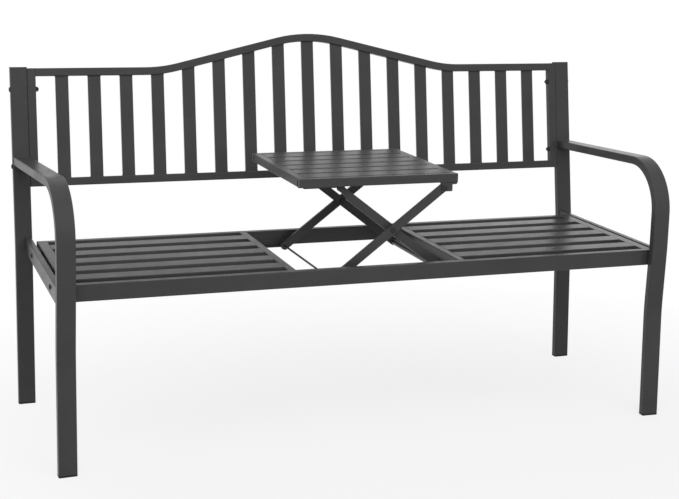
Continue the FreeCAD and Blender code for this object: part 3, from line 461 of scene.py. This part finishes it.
def stile_runs(radius):
    """Beads in the inner corners between the upright panel ends and the lower rail."""
    runs = []
    rail = vertices_of("back_bottom_rail")
    rail_top = max(v.dot(PANEL_UP) for v in rail)
    near, far = span(v.dot(PANEL_BACK) for v in rail)
    for x in (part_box("back_stile_left")[1][0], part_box("back_stile_right")[0][0]):
        runs.append(depth_run(x, rail_top, near, far, STILE_MARGIN, radius))
    return runs


def arm_end_runs(radius):
    """Beads along the four sides of each arm's end where it is welded to its post."""
    runs = []
    for name in ("arm_leg_left", "arm_leg_right"):
        verts = vertices_of(name)
        deepest = max(v.dot(PANEL_BACK) for v in verts)
        end = [v for v in verts if v.dot(PANEL_BACK) > deepest - ARM_END_REACH]
        left, right = span(v.x for v in end)
        low, high = span(v.dot(PANEL_UP) for v in end)
        for up in (low, high):
            start = panel_place(left + ARM_INSET, up, deepest)
            runs.append((start, panel_place(right - ARM_INSET, up, deepest), radius))
        for x in (left, right):
            start = panel_place(x, low + ARM_INSET, deepest)
            runs.append((start, panel_place(x, high - ARM_INSET, deepest), radius))
    return runs


def corner_runs(names, radius):
    """Upright beads in the corners at both Y ends of level rails that run along Y."""
    runs = []
    for name in names:
        low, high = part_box(name)
        for x in (low[0], high[0]):
            for y in (low[1], high[1]):
                runs.append(upright_run(x, y, low[2], high[2], RAIL_MARGINS, radius))
    return runs


def side_rail_runs(radius):
    """Upright beads at both ends of the inner face of the rails between leg and post."""
    runs = []
    for name, inner in (("side_rail_left", 1), ("side_rail_right", 0)):
        low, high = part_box(name)
        x = (low, high)[inner][0]
        for y in (low[1] + SIDE_RAIL_FRONT_INSET, high[1] - SIDE_RAIL_REAR_INSET):
            runs.append(upright_run(x, y, low[2], high[2], SIDE_RAIL_MARGINS, radius))
    return runs


def stitch_runs(name, y, z, radius):
    """Short beads along X, evenly spaced over a node's length."""
    low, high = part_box(name)
    step = (high[0] - low[0] - STITCH_LENGTH) / (STITCH_COUNT - 1)
    runs = []
    for i in range(STITCH_COUNT):
        x = low[0] + i * step
        runs.append(((x, y, z), (x + STITCH_LENGTH, y, z), radius))
    return runs


def guide_runs(radius):
    """Beads that hold the guide angles and the pivot tabs to the seat frame."""
    front_low, front_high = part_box("guide_front")
    rear_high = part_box("guide_rear")[1]
    runs = stitch_runs("guide_front", front_low[1], front_high[2], radius)
    runs += stitch_runs("guide_rear", rear_high[1], rear_high[2], radius)
    for name in ("pivot_tab_front", "pivot_tab_rear"):
        low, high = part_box(name)
        for y in (low[1], high[1]):
            runs.append(upright_run(high[0], y, low[2], high[2], TAB_MARGINS, radius))
    return runs


def bracket_runs(radius):
    """Beads between the table rim's underside and the upper edge of the brackets."""
    runs = []
    for name, outer in (("table_bracket_front", 0), ("table_bracket_rear", 1)):
        low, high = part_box(name)
        y = (low, high)[outer][1]
        start = (low[0] + BRACKET_INSET, y, high[2])
        runs.append((start, (high[0] - BRACKET_INSET, y, high[2]), radius))
    return runs


SEAT_RAILS = ("seat_end_rail_left", "seat_end_rail_right", "bay_rail_left", "bay_rail_right")
TABLE_RAILS = ("table_end_rail_left", "table_end_rail_right")

back_runs = back_slat_runs(SLAT_BEAD) + stile_runs(SLAT_BEAD)
seat_runs = slat_end_runs("seat_slats_left", SLAT_BEAD) + slat_end_runs("seat_slats_right", SLAT_BEAD)
arm_runs = arm_end_runs(ARM_BEAD) + side_rail_runs(FRAME_BEAD)
frame_runs = corner_runs(SEAT_RAILS, FRAME_BEAD) + guide_runs(SLAT_BEAD)
table_runs = slat_end_runs("table_slats", SLAT_BEAD) + corner_runs(TABLE_RAILS, SLAT_BEAD)
table_runs += bracket_runs(SLAT_BEAD)

bead_piece("welds_back", back_runs, "bench")
bead_piece("welds_seat", seat_runs, "bench")
bead_piece("welds_arms", arm_runs, "bench")
bead_piece("welds_frame", frame_runs, "bench")
bead_piece("welds_table", table_runs, "table")


# Closed tube ends
PLUG_CORNER = 0.0012
PLUG_CORNER_STEPS = 5
PLUG_DEPTH = 0.004
PLUG_CHAMFER = 0.0007
TUBE_WALL = 0.001
AXIS_X = Vector((1, 0, 0))
AXIS_Y = Vector((0, 1, 0))
AXIS_Z = Vector((0, 0, 1))


def rounded_outline(half_width, half_height, corner):
    """Corner-rounded rectangle around the origin, as pairs of numbers."""
    outline = []
    for turn, (x_way, y_way) in enumerate(((1, 1), (-1, 1), (-1, -1), (1, -1))):
        for step in range(PLUG_CORNER_STEPS + 1):
            angle = math.radians(90 * (turn + step / PLUG_CORNER_STEPS))
            x = x_way * (half_width - corner) + corner * math.cos(angle)
            y = y_way * (half_height - corner) + corner * math.sin(angle)
            outline.append((x, y))
    return outline


def plug(bm, centre, out, across, up, width, height):
    """Plate set flush into the open end of a tube, with a chamfered rim."""
    levels = ((-PLUG_DEPTH, 0.0), (-PLUG_CHAMFER, 0.0), (0.0, PLUG_CHAMFER))
    rings = []
    for depth, inset in levels:
        outline = rounded_outline(width / 2 - inset, height / 2 - inset, PLUG_CORNER)
        rings.append([bm.verts.new(centre + out * depth + across * a + up * b) for a, b in outline])
    join_rings(bm, rings)


def level_plugs(bm, name):
    """Both ends of a level rail that runs along X."""
    low, high = (Vector(corner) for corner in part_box(name))
    middle = (low + high) / 2
    width = high.y - low.y - 2 * TUBE_WALL
    height = high.z - low.z - 2 * TUBE_WALL
    for x, way in ((low.x, -1), (high.x, 1)):
        centre = Vector((x, middle.y, middle.z))
        plug(bm, centre, AXIS_X * way, AXIS_Y, AXIS_Z, width, height)


def stile_plugs(bm, name):
    """Lower and upper end of an upright end of the back panel."""
    verts = vertices_of(name)
    left, right = span(v.x for v in verts)
    near, far = span(v.dot(PANEL_BACK) for v in verts)
    width = right - left - 2 * TUBE_WALL
    depth = far - near - 2 * TUBE_WALL
    for up, way in zip(span(v.dot(PANEL_UP) for v in verts), (-1, 1)):
        centre = panel_place((left + right) / 2, up, (near + far) / 2)
        plug(bm, centre, PANEL_UP * way, AXIS_X, PANEL_BACK, width, depth)


def plug_piece(name, rails, stiles, body):
    """One piece of the plates in the ends of some level rails and stiles."""
    bm = bmesh.new()
    for rail in rails:
        level_plugs(bm, rail)
    for stile in stiles:
        stile_plugs(bm, stile)
    make_piece(bm, name, body, smooth=False)


SEAT_LONG_RAILS = ("seat_front_rail", "seat_back_rail")
TABLE_LONG_RAILS = ("table_front_rail", "table_back_rail")
BACK_STILES = ("back_stile_left", "back_stile_right")

plug_piece("table_rail_ends", TABLE_LONG_RAILS, (), "table")
plug_piece("frame_rail_ends", SEAT_LONG_RAILS, BACK_STILES, "bench")


# Floor and backdrop
FLOOR_SIZE = 40
FLOOR_COLOUR = (0.55, 0.55, 0.55, 1)
FLOOR_ROUGHNESS = 0.7
FLOOR_SPECULAR = 0.1

# The floor turns white with the distance from this place, from NEAR_WHITE at FADE_START.
SHADOW_CENTRE = (0.1, -0.55, 0.0)
NEAR_WHITE = 0.77
FADE_START = 0.65
FADE_END = 1.75


def background_rays(tree):
    """1 for sight lines, mirror-like reflections and see-through rays, 0 for light that falls on things."""
    path = add_node(tree, "ShaderNodeLightPath")
    both = math_of(tree, "MAXIMUM", path.outputs["Is Camera Ray"], path.outputs["Is Glossy Ray"])
    return math_of(tree, "MAXIMUM", both, path.outputs["Is Transmission Ray"])


def make_floor():
    """Pale floor that keeps the shadow near the bench and runs out into white."""
    bpy.ops.mesh.primitive_plane_add(size=FLOOR_SIZE, location=(0, 0, 0))
    floor = bpy.context.object
    floor.name = "floor"
    material, tree, shader = new_material("floor")
    shader.inputs["Base Color"].default_value = FLOOR_COLOUR
    shader.inputs["Roughness"].default_value = FLOOR_ROUGHNESS
    shader.inputs["Specular IOR Level"].default_value = FLOOR_SPECULAR
    place = add_node(tree, "ShaderNodeTexCoord").outputs["Object"]
    distance = add_node(tree, "ShaderNodeVectorMath", operation="DISTANCE")
    distance.inputs[1].default_value = SHADOW_CENTRE
    tree.links.new(place, distance.inputs[0])
    far = spread(tree, distance.outputs["Value"], NEAR_WHITE, 1.0, FADE_START, FADE_END)
    white = add_node(tree, "ShaderNodeEmission")
    mix = add_node(tree, "ShaderNodeMixShader")
    tree.links.new(math_of(tree, "MULTIPLY", far, background_rays(tree)), mix.inputs["Fac"])
    tree.links.new(shader.outputs["BSDF"], mix.inputs[1])
    tree.links.new(white.outputs["Emission"], mix.inputs[2])
    tree.links.new(mix.outputs["Shader"], tree.nodes["Material Output"].inputs["Surface"])
    floor.data.materials.append(material)


make_floor()


# Lamps and world
WHITE = (1, 1, 1, 1)
SOFT_STRENGTH = 0.58
WHITE_STRENGTH = 1.0


def area_lamp(name, place, aim, size, power):
    """Rectangular lamp that looks at a place, with its power in watts."""
    data = bpy.data.lights.new(name, "AREA")
    data.shape = "RECTANGLE"
    data.size, data.size_y = size
    data.energy = power
    lamp = bpy.data.objects.new(name, data)
    lamp.location = place
    lamp.rotation_mode = "QUATERNION"
    lamp.rotation_quaternion = (Vector(aim) - Vector(place)).to_track_quat("-Z", "Y")
    scene.collection.objects.link(lamp)
    return lamp


# The main lamp lights the coating, but doesn't show in its reflections.
top_light = area_lamp("top_light", place=(-0.4, -2.4, 3.0), aim=(0, 0.1, 0.7), size=(4.4, 2.8), power=122)
top_light.visible_glossy = False
area_lamp("left_light", place=(-3.4, -1.4, 2.2), aim=(0, 0, 0.5), size=(2.4, 2.4), power=3)
area_lamp("right_light", place=(3.6, -1.2, 1.8), aim=(0, 0, 0.5), size=(2.0, 2.4), power=4)
area_lamp("back_light", place=(2.9, 3.6, 1.6), aim=(0.4, 0, 0.4), size=(2.2, 1.6), power=5)


def make_world():
    """Soft light from all round, seen as white where nothing stands in front of it."""
    world = bpy.data.worlds.new("studio")
    scene.world = world
    world.use_nodes = True
    tree = world.node_tree
    soft = tree.nodes["Background"]
    soft.inputs["Color"].default_value = WHITE
    soft.inputs["Strength"].default_value = SOFT_STRENGTH
    white = add_node(tree, "ShaderNodeBackground")
    white.inputs["Color"].default_value = WHITE
    white.inputs["Strength"].default_value = WHITE_STRENGTH
    mix = add_node(tree, "ShaderNodeMixShader")
    tree.links.new(background_rays(tree), mix.inputs["Fac"])
    tree.links.new(soft.outputs["Background"], mix.inputs[1])
    tree.links.new(white.outputs["Background"], mix.inputs[2])
    tree.links.new(mix.outputs["Shader"], tree.nodes["World Output"].inputs["Surface"])


make_world()
scene.view_settings.view_transform = "Standard"
